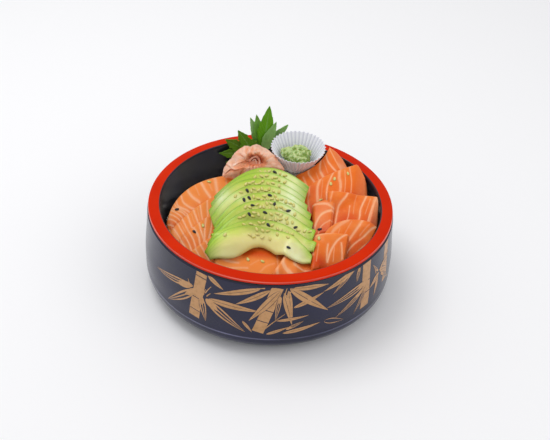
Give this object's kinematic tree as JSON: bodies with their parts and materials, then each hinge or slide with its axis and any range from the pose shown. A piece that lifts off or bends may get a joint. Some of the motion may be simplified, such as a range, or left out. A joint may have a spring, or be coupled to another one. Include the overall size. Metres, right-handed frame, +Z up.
{
  "type": "filled rice bowl",
  "caption": "Round lacquered tub filled with rice, overlapping raw fish slices, a fan of avocado, pickled ginger, leaves and a pleated paper cup of green paste.",
  "frame": {"origin": "bottom centre of the tub, on the surface it stands on", "axes": "+Z up, -Y towards the camera of the picture, +X to its right"},
  "size_m": [0.2, 0.2, 0.107],
  "materials": {
    "lacquer": "gloss black lacquer with a vermilion rim",
    "rice": "moist cooked rice",
    "salmon": "moist raw fish",
    "avocado": "soft fruit flesh",
    "ginger": "moist pickled slices",
    "leaf": "fresh leaf",
    "paper": "thin pleated paper",
    "wasabi": "soft paste"
  },
  "bodies": {
    "root": {"bowl": "lacquer", "rice": "rice", "salmon_left_1": "salmon", "salmon_left_2": "salmon", "salmon_left_3": "salmon", "salmon_left_4": "salmon", "salmon_front_1": "salmon", "salmon_front_2": "salmon", "salmon_right_1": "salmon", "salmon_right_2": "salmon", "salmon_right_3": "salmon", "salmon_right_4": "salmon", "salmon_right_5": "salmon", "salmon_right_6": "salmon", "avocado_1": "avocado", "avocado_2": "avocado", "avocado_3": "avocado", "avocado_4": "avocado", "avocado_5": "avocado", "avocado_6": "avocado", "avocado_7": "avocado", "avocado_8": "avocado", "avocado_9": "avocado", "ginger": "ginger", "leaf_back": "leaf", "leaf_side": "leaf", "paper_cup": "paper", "wasabi": "wasabi"}
  },
  "joints": []
}
